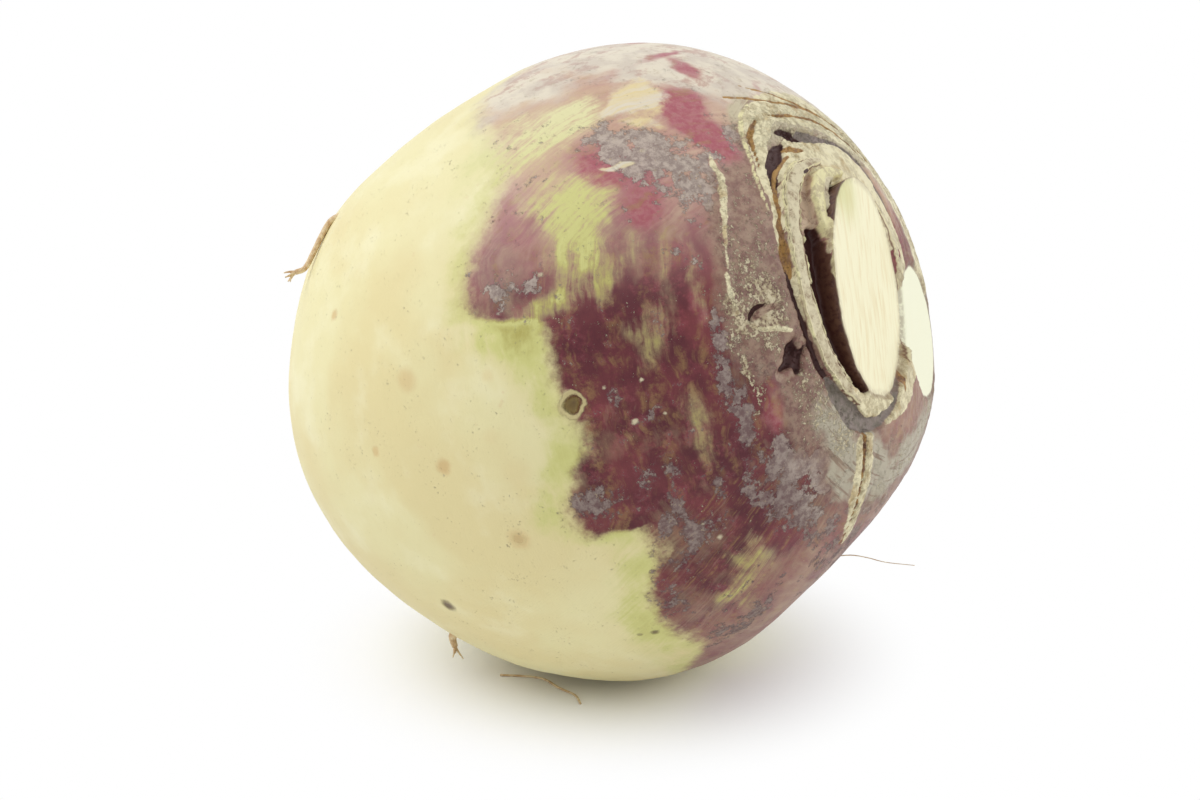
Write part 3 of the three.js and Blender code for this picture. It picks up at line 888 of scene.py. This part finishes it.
# Small marks: (polar, turn, reach in mm, colour, strength, depth in mm)
MARKS = [
    (100.1, 74.3, 1.9, SMUDGE, 0.4, 0), (90, 105.2, 1.7, SMUDGE, 0.5, 0),
    (97.9, 89.9, 1.3, SMUDGE, 0.6, 0.05), (114.3, 118.7, 1.25, DARK_BROWN, 0.9, 0.5),
    (116.5, 57.2, 0.9, SMUDGE, 0.6, 0.05), (112.1, 84.6, 0.9, SMUDGE, 0.5, 0.05),
    (80.6, 134.5, 0.6, DARK_BROWN, 0.8, 0.2), (83, 133.7, 0.4, DARK_BROWN, 0.5, 0.1),
    (84.5, 77.5, 1, AMBER, 0.5, 0), (87, 87, 1.3, AMBER, 0.35, 0), (85, 94, 2.4, AMBER, 0.35, 0),
    (60.4, 85.5, 0.32, CORK_LIGHT, 0.9, -0.1), (66.4, 84.8, 0.3, CORK_LIGHT, 0.7, -0.1),
    (63.6, 92.4, 0.45, CORK_LIGHT, 0.9, -0.1), (58.6, 92.9, 0.3, CORK_LIGHT, 0.8, -0.1),
    (60.5, 121.3, 0.45, CORK_LIGHT, 0.8, -0.1), (61.5, 116.5, 0.3, CORK_LIGHT, 0.6, -0.1),
    (72.4, 63.2, 0.45, CORK_LIGHT, 0.8, -0.2), (92, 200, 1.6, SMUDGE, 0.6, 0.1),
    (104, 214, 1.2, DARK_BROWN, 0.7, 0.3), (118, 208, 1.5, SMUDGE, 0.7, 0.1),
    (96, 250, 1.4, SMUDGE, 0.5, 0), (110, 285, 1.2, SMUDGE, 0.6, 0.1), (99, 320, 1.6, SMUDGE, 0.5, 0),
    (125, 340, 1.3, DARK_BROWN, 0.6, 0.3), (135, 190, 1.4, SMUDGE, 0.7, 0.2),
    (140, 240, 1.2, SMUDGE, 0.5, 0.1),
]
ROUGHNESS = {"cream": 0.48, "purple": 0.44, "crust": 0.72, "cut": 0.5}
RELIEF = {"pores": 0.05, "scale": 0.06, "cork": 0.10, "lines": 0.04, "fibres": 0.06}  # mm, as bump
GREEN_TOP = (7.5, 18.5, 0)  # crown point where the neck's cut face is still green


def cream_colour(n):
    """The root's cream skin, warmer and lighter in broad clouds, with faint freckles."""
    color = n.over(CREAM_WARM, CREAM, n.mottle(26), 0.38, 0.62)
    color = n.over(color, CREAM_LIGHT, n.mottle(12, 4), 0.5, 0.72, 0.5)
    return n.over(color, SMUDGE, n.mottle(3, 4, 0.65), 0.64, 0.78, 0.25)


def green_level(n):
    """How green the skin is: streaked patches, and a fringe along the edge of the purple."""
    uneven = n.plus(n.swing(n.streaks, 1.4), n.swing(n.lines, 0.8), n.swing(n.blotches, 0.6))
    uneven = n.plus(uneven, n.swing(n.mottle(2.5, 4, 0.7), 0.9))
    patches = n.times(n.field("green"), n.plus(uneven, 1.0))
    broken = n.plus(n.swing(n.blotches, 1.4), n.swing(n.streaks, 1.2), 1.0)
    halo = n.times(n.step(n.edge, -6.5, -0.5), n.step(n.blotches, 0.3, 0.62, 0.3, 0.62))
    fringe = n.plus(n.times(n.field("fringe"), broken, 0.7), halo)
    return n.plus(patches, n.times(fringe, n.step(n.edge, 5, 0)))


def green_colour(n, level):
    """Green skin, deepest where little of it is in the purple or much outside, and palest on the upper side,
    where the paler tones are painted light.
    """
    # LEAF and then LEAF_PALE towards the upper side: painted light
    inside = n.over(n.over(LEAF_DEEP, LEAF, level, 0.6, 1.7), LEAF, n.front, 0.36, 0.66)
    outside = n.over(LEAF, LEAF_DEEP, level, 0.8, 3.2, 0.9)
    return n.over(n.over(outside, inside, n.edge, -0.5, 2.5), LEAF_PALE, n.front, 0.65, 0.92)


def wine_colour(n):
    """The purple itself, deep in clouds, with crimson mottles and thin olive scratches, and rosier above,
    where its paler rose and brighter crimson are painted light.
    """
    color = n.over(WINE_DEEP, WINE, n.mottle(9, 5, 0.6), 0.38, 0.62)
    color = n.over(color, ROSY, n.mottle(3.2, 6, 0.7), 0.48, 0.66, 0.6)
    # ROSE_PALE towards the upper side: painted light
    color = n.over(color, ROSE_PALE, n.front, 0.25, 0.75, 0.85)
    color = n.over(color, ROSE_DULL, n.front, -0.6, -0.85, 0.55)
    # CRIMSON in place of ROSY on the upper side: painted light
    crimson = n.over(n.mix(n.upper, ROSY, CRIMSON), ROSE_PALE, n.fine, 0.35, 0.65, 0.45)
    rosy = n.plus(n.field("rosy"), n.swing(n.mottle(3, 4, 0.65), 0.3))
    color = n.over(color, crimson, rosy, 0.35, 0.9, 0.9)
    color = n.over(color, WINE_DEEP, n.field("deep"), 0.2, 0.9, 0.4)
    broken = n.step(n.mottle(2.5, 6, 0.75), 0.42, 0.6, 0.0, 0.5)
    return n.mix(n.times(n.step(n.streaks, 0.45, 0.65), broken), color, OLIVE_BROWN)


def add_purple(n, color, level):
    """The purple shoulder, thinner where the skin is green, with a softer edge above, and its mask."""
    mask = n.blend(n.step(n.front, 0.2, 0.6), n.step(n.edge, -1.5, 3.0), n.step(n.edge, -3.0, 5.0))
    density = n.plus(n.step(n.front, 0.3, 0.9, 0.97, 0.7), n.swing(n.streaks, 0.3), n.swing(n.blotches, 0.35))
    density = n.plus(density, n.times(n.field("deep"), 0.3), n.times(n.field("rosy"), 0.4))
    density = n.math("MINIMUM", n.times(density, n.step(n.front, -0.92, -0.6, 0.88, 1.0)), 1.0)
    cover = n.times(mask, density, n.step(level, 0.1, 1.25, 1.0, 0.03))
    return n.mix(cover, color, wine_colour(n)), mask


def add_scale(n, color):
    """Grey flaking skin in small islands with torn edges, and their mask."""
    level = n.plus(n.field("scale"), n.swing(n.mottle(3.2, 7, 0.75), 2.5))
    level = n.minus(level, n.step(n.field("rosy"), 0.9, 1.4))
    in_purple = n.step(n.edge, -0.5, 1.5)
    mask = n.times(n.step(level, 0.66, 0.76), in_purple)
    by_crown = n.times(n.step(n.front, -0.2, -0.6), n.step(n.field("dust"), 0.03, 0.35, 0.0, 0.7))
    # the lighter flakes on the upper side are painted light; by the crown's dust, underneath, they are paler
    # as well
    pale = n.highest(n.upper, by_crown)
    shade = n.step(n.mottle(1.3, 5, 0.75), 0.38, 0.62)
    flake = n.mix(shade, n.mix(pale, SCALE_DARK, SCALE_GREY), n.mix(pale, SCALE_GREY, SCALE_LIGHT))
    flake = n.over(flake, CORK_TAN, n.mottle(0.8, 3, 0.7), 0.62, 0.7, 0.6)
    halo = n.times(n.step(level, 0.4, 0.66, 0.0, 0.3), in_purple)
    color = n.mix(halo, color, SCALE_DARK)
    return n.mix(n.times(mask, 0.9), color, flake), mask


def add_faded(n, color):
    """The bleached upper side with what is left of its purple, and the amber patches beside it."""
    level = n.plus(n.field("faded"), n.swing(n.blotches, 0.6))
    level = n.minus(level, n.times(n.field("rosy"), 0.7))
    torn = n.plus(n.times(n.mottle(5, 7, 0.72), 0.7), n.times(n.streaks, 0.3))
    bleached = n.over(FADED, FADED_PINK, torn, 0.5, 0.6, 0.85)
    bleached = n.over(bleached, CORK_TAN, n.mottle(2, 5, 0.7), 0.55, 0.65, 0.45)
    bleached = n.over(bleached, FADED_MAUVE, n.blotches, 0.44, 0.6, 0.45)
    color = n.mix(n.times(n.step(level, 0.3, 0.9), n.step(n.edge, -6, 3, 0.0, 0.92)), color, bleached)
    amber = n.plus(n.field("amber"), n.swing(n.fine, 0.35))
    return n.over(color, n.over(AMBER, FADED, n.streaks, 0.4, 0.62), amber, 0.3, 0.8, 0.9)


def add_dust(n, color):
    """The brown dusty shoulder of the crown."""
    level = n.plus(n.field("dust"), n.swing(n.mottle(6, 4, 0.6), 0.6))
    level = n.minus(level, n.times(n.field("rosy"), 0.6))
    dusty = n.over(DUSTY_MAUVE, DUST, n.mottle(2, 6, 0.75), 0.4, 0.6)
    return n.over(color, dusty, level, 0.3, 0.9, 0.8)


def add_husk(n, color):
    """The dry tan husk of the crown's far side and underside, lined round the crown."""
    level = n.plus(n.field("husk"), n.swing(n.blotches, 0.7))
    round_crown = n.vector_math("MULTIPLY", n.vector("around"), (3.0, 3.0, 1.1))
    grooves = n.noise(round_crown, 1.0, 4, 0.65)
    # HUSK in place of HUSK_GREY on the upper side: painted light
    husk = n.over(n.mix(n.upper, HUSK_GREY, HUSK), CORK_BROWN, grooves, 0.52, 0.62, 0.65)
    husk = n.over(husk, DUST, n.mottle(4, 6, 0.7), 0.54, 0.62, 0.55)
    return n.over(color, husk, level, 0.3, 0.8, 0.92)


def add_cork(n, color):
    """Tan corky speckle over the crown's shoulder, and its mask."""
    crumbs = n.plus(n.times(n.mottle(0.6, 4, 0.75), 1.4), n.times(n.mottle(3.5), 0.5))
    mask = n.step(n.plus(n.times(n.field("cork"), 0.3), crumbs), 1.17, 1.3)
    tan = n.over(CORK_TAN, CORK_LIGHT, n.fine, 0.45, 0.65)
    return n.mix(n.times(mask, 0.85), color, tan), mask


def add_strokes(n, color):
    """The crown's scars. Straw is mottled amber, and cork has a brown outline and a pale rim. Every tint but
    gap is lighter on the upper side, which is painted light; gap is near-black painted shade.
    """
    grain = n.mottle(2.2, 7, 0.75)
    # lit: random grain, plus painted light on the upper side
    lit = n.plus(n.step(grain, 0.4, 0.6), n.times(n.upper, 0.3))
    barely_lit = n.step(grain, 0.62, 0.8)
    shades = {
        "straw": n.mix(lit, STRAW, STRAW_LIGHT),
        "cork": n.mix(lit, CORK_TAN, CORK_LIGHT),
        "pale": n.mix(lit, CORK_TAN, CREAM),
        "slate": n.mix(lit, SLATE, SCALE_GREY),
        # mauve turns to FOLD_LIGHT on the upper side: painted light
        "mauve": n.mix(lit, FOLD, n.mix(n.upper, DUST, FOLD_LIGHT)),
        "rosy": n.mix(lit, WINE_DEEP, ROSY),
        "rust": n.mix(lit, CORK_BROWN, RUST),
        # gap: painted shade in the grooves and pits, with a little brown showing through where the grain
        # allows
        "gap": n.mix(barely_lit, GAP_SHADE, CORK_BROWN),
    }
    for tint, shade in shades.items():
        mask = n.field("tint_" + tint)
        if tint == "straw":
            shade = n.over(shade, AMBER_BROWN, n.mottle(3.5), 0.52, 0.68, 0.6)
            mask = n.step(n.plus(mask, n.swing(grain, 0.5)), 0.15, 1.0)
        if tint == "cork":
            color = n.over(color, CORK_BROWN, mask, 0.02, 0.25, 0.85)
            shade = n.over(shade, CORK_BROWN, grain, 0.46, 0.36, 0.6)
            shade = n.over(CORK_RIM, shade, mask, 0.75, 0.98)
        color = n.over(color, shade, mask, 0.3, 0.6)
    return color


def add_cut_faces(n, color):
    """The fibrous neck and the smooth shoot where the knife went through, with their mask and their grain."""
    crown = n.vector("crown")
    along = n.turned(crown, -STUBS["neck"]["lean"])
    grain = n.noise(n.vector_math("MULTIPLY", along, (1 / 1.2, 1 / 9, 1)), 1.0, 4, 0.6)
    thick = n.noise(n.vector_math("MULTIPLY", along, (1 / 3.5, 1 / 14, 1)), 1.0, 2, 0.5)
    neck, shoot = n.field("neck"), n.field("shoot")
    on_neck, on_shoot = n.step(neck, -0.15, 0.25), n.step(shoot, -0.15, 0.25)

    flesh = n.over(FLESH, FLESH_FIBRE, grain, 0.46, 0.7, 0.8)
    flesh = n.over(flesh, FLESH_FIBRE, thick, 0.55, 0.7, 0.4)
    rim = n.times(n.step(neck, 1.3, 0.2), n.step(n.fine, 0.3, 0.55, 0.0, 0.85))
    flesh = n.mix(rim, flesh, CORK_LIGHT)
    from_green = n.plus(n.vector_math("DISTANCE", crown, GREEN_TOP), n.swing(thick, 5))
    flesh = n.over(flesh, FLESH_GREEN, from_green, 8, 1, 0.6)

    color = n.mix(on_shoot, color, n.over(FACET, FLESH, grain, 0.5, 0.8, 0.25))
    skin_edges = [n.times(n.step(cut, -0.9, -0.3), n.step(cut, 0.4, 0.1)) for cut in (neck, shoot)]
    outline = n.times(n.highest(*skin_edges), n.step(n.fine, 0.35, 0.55, 0.1, 0.5))
    color = n.mix(outline, color, CORK_BROWN)
    return n.mix(on_neck, color, flesh), n.highest(on_neck, on_shoot), grain


def add_taproot_end(n, color):
    """The corky end where the taproot was cut, ringed, and darker at its rim and in its heart."""
    across = n.vector_math("LENGTH", n.vector_math("MULTIPLY", n.place, (0, 1, 1)))
    across = n.plus(across, n.swing(n.mottle(3, 4, 0.65), 1.6))
    rings = n.step(n.math("SINE", n.times(across, 4.0)), -0.4, 0.7)
    wood = n.mix(n.times(rings, n.step(n.fine, 0.3, 0.55)), ROOT_CORE, CREAM_WARM)
    rim = n.times(n.step(across, 4.2, 6.4), n.step(n.fine, 0.35, 0.6, 0.4, 1.0))
    wood = n.over(n.mix(rim, wood, CORK_BROWN), DARK_BROWN, across, 1.6, 0.4, 0.8)
    return n.over(color, wood, n.part(n.place, "X"), 0.6 - TAPROOT_CUT, 0.1 - TAPROOT_CUT)


def add_marks(n, color, height):
    """Smudges, specks and pits of the skin."""
    ragged = n.swing(n.fine, 0.6)
    for polar, turn, reach, tone, strength, depth in MARKS:
        away = n.away(polar, turn, ragged)
        mark = n.step(away, reach * (1 + MARK_SOFTNESS), reach * (1 - MARK_SOFTNESS))
        color = n.mix(n.times(mark, strength), color, tone)
        if depth:
            height = n.raised(height, mark, -depth)
    return color, height


def add_ring_scars(n, color, height):
    """Ring-shaped scars of side roots: a pale raised rim round a darker hollow."""
    ragged = n.swing(n.mottle(2.5, 3, 0.6), 0.9)
    for polar, turn, radius, dark in RING_SCARS:
        away = n.away(polar, turn, ragged)
        hole = n.step(away, radius * 0.85, radius * 0.5)
        rim = n.times(n.step(away, radius * 0.7, radius * 0.9), n.step(away, radius * 1.25, radius * 1.05))
        color = n.mix(n.times(hole, dark), color, n.over(DARK_BROWN, HOLLOW_OLIVE, away, 0, radius * 0.6))
        color = n.mix(n.times(rim, 0.25 + 0.6 * dark), color, SCAR_RIM)
        height = n.raised(height, hole, -0.5 * dark)
        height = n.raised(height, rim, 0.25 * dark)
    return color, height


def skin_material():
    material = bpy.data.materials.new("skin")
    n = SkinNodes(material)
    level = green_level(n)
    color = n.over(cream_colour(n), green_colour(n, level), level, 0.0, 1.15)
    color, purple = add_purple(n, color, level)
    color, scale = add_scale(n, color)
    for add in (add_faded, add_dust, add_husk):
        color = add(n, color)
    color, cork = add_cork(n, color)
    color = add_strokes(n, color)
    color, on_cut, grain = add_cut_faces(n, color)
    color = add_taproot_end(n, color)

    color, height = add_marks(n, color, n.times(n.fine, RELIEF["pores"]))
    color, height = add_ring_scars(n, color, height)
    for name, mask in (("scale", scale), ("cork", cork), ("lines", n.lines)):
        height = n.raised(height, mask, RELIEF[name])
    height = n.blend(on_cut, height, n.times(grain, RELIEF["fibres"]))

    rough = n.blend(purple, ROUGHNESS["cream"], ROUGHNESS["purple"])
    rough = n.blend(n.highest(scale, cork), rough, ROUGHNESS["crust"])
    rough = n.blend(on_cut, rough, ROUGHNESS["cut"])
    n.finish(color, rough, height, MILLIMETRE, specular=0.3)
    return material


def rootlet_material():
    material = bpy.data.materials.new("rootlet")
    n = Nodes(material)
    grain = n.noise(n.add("NewGeometry").outputs["Position"], 1.2 * MILLIMETRE, 4, 0.65)
    color = n.over(ROOTLET_DARK, ROOTLET_LIGHT, grain, 0.35, 0.65)
    n.finish(color, n.step(grain, 0.3, 0.7, 0.6, 0.8), grain, 0.2 * MILLIMETRE)
    return material


# ---------------- floor, light and camera

FLOOR_REACH = 3.0
FLOOR_COLOUR = (0.93, 0.93, 0.92, 1)
FLOOR_WHITENS = (0.018, 0.062)  # metres from the middle over which the floor turns into plain white

WHITE = (1, 1, 1, 1)
WORLD_LIGHT = 0.624
# azimuth and elevation in degrees, distance and size in metres, power in watts
LAMPS = {
    "key": dict(azimuth=-70, elevation=48, distance=1.1, size=1.0, power=7.5),
    "fill": dict(azimuth=112, elevation=22, distance=1.1, size=1.0, power=4.5),
}

CAMERA_AZIMUTH, CAMERA_ELEVATION = 24.0, 18.0
CAMERA_DISTANCE = 0.525
CAMERA_SLIDE = (-0.00426, -0.00704)  # to the right and up, which sets where the body stands in the picture
LENS = 85.0
CLIP_START = 0.01


def floor_material():
    """Pale, with the object's shadow near it and plain white farther off."""
    material = bpy.data.materials.new("floor")
    n = Nodes(material)
    away = n.vector_math("LENGTH", n.add("NewGeometry").outputs["Position"])
    paint = n.add("BsdfDiffuse")
    paint.inputs["Color"].default_value = FLOOR_COLOUR
    white = n.add("Emission")
    white.inputs["Strength"].default_value = 1.0
    surface = n.add("MixShader")
    n.feed(surface.inputs[0], n.times(n.shown(), n.step(away, *FLOOR_WHITENS)))
    n.feed(surface.inputs[1], paint.outputs[0])
    n.feed(surface.inputs[2], white.outputs[0])
    n.feed(n.add("OutputMaterial").inputs["Surface"], surface.outputs[0])
    return material


def make_floor():
    corners = np.array([(-1, -1, 0), (1, -1, 0), (1, 1, 0), (-1, 1, 0)]) * FLOOR_REACH
    floor = make_mesh("floor", corners, [(0, 1, 2, 3)])
    floor.data.materials.append(floor_material())


def make_world():
    """White where it is seen, and a plain even light on everything else."""
    world = bpy.data.worlds.new("studio")
    bpy.context.scene.world = world
    n = Nodes(world)
    background = n.add("Background")
    background.inputs["Color"].default_value = WHITE
    n.feed(background.inputs["Strength"], n.blend(n.shown(), WORLD_LIGHT, 1.0))
    n.feed(n.add("OutputWorld").inputs["Surface"], background.outputs[0])


def toward_view(azimuth, elevation):
    a, e = np.radians(azimuth), np.radians(elevation)
    return Vector((np.sin(a) * np.cos(e), -np.cos(a) * np.cos(e), np.sin(e)))


def make_looker(name, data, toward, location):
    """A lamp or a camera at a place, looking back against "toward"."""
    thing = bpy.data.objects.new(name, data)
    bpy.context.scene.collection.objects.link(thing)
    thing.location = location
    thing.rotation_euler = toward.to_track_quat("Z", "Y").to_euler()
    return thing


def make_lamps(target):
    for name, lamp in LAMPS.items():
        light = bpy.data.lights.new(name, "AREA")
        light.energy = lamp["power"]
        light.size = lamp["size"]
        toward = toward_view(lamp["azimuth"], lamp["elevation"])
        make_looker(name, light, toward, target + toward * lamp["distance"])


def make_camera(target):
    camera = bpy.data.cameras.new("camera")
    camera.lens = LENS
    camera.clip_start = CLIP_START
    toward = toward_view(CAMERA_AZIMUTH, CAMERA_ELEVATION)
    right = Vector((-toward.y, toward.x, 0)).normalized()
    above = toward.cross(right)
    location = target + toward * CAMERA_DISTANCE + right * CAMERA_SLIDE[0] + above * CAMERA_SLIDE[1]
    bpy.context.scene.camera = make_looker("camera", camera, toward, location)


# ---------------- everything together


def main():
    points, rings, fields, vectors = shape_skin()
    stance = Stance(points, *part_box("rutabaga"))
    skin = make_mesh("rutabaga_skin", stance.place(points), grid_faces(rings))
    store_fields(skin, fields, vectors)
    skin.data.materials.append(skin_material())
    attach(skin, "root")
    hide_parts("rutabaga")

    rootlets = make_rootlets(stance)
    rootlets.data.materials.append(rootlet_material())
    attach(rootlets, "root")

    make_floor()
    make_world()
    body_centre = Vector(stance.place(np.zeros(3))[0])
    make_lamps(body_centre)
    make_camera(body_centre)
    bpy.context.scene.view_settings.view_transform = "Standard"


main()
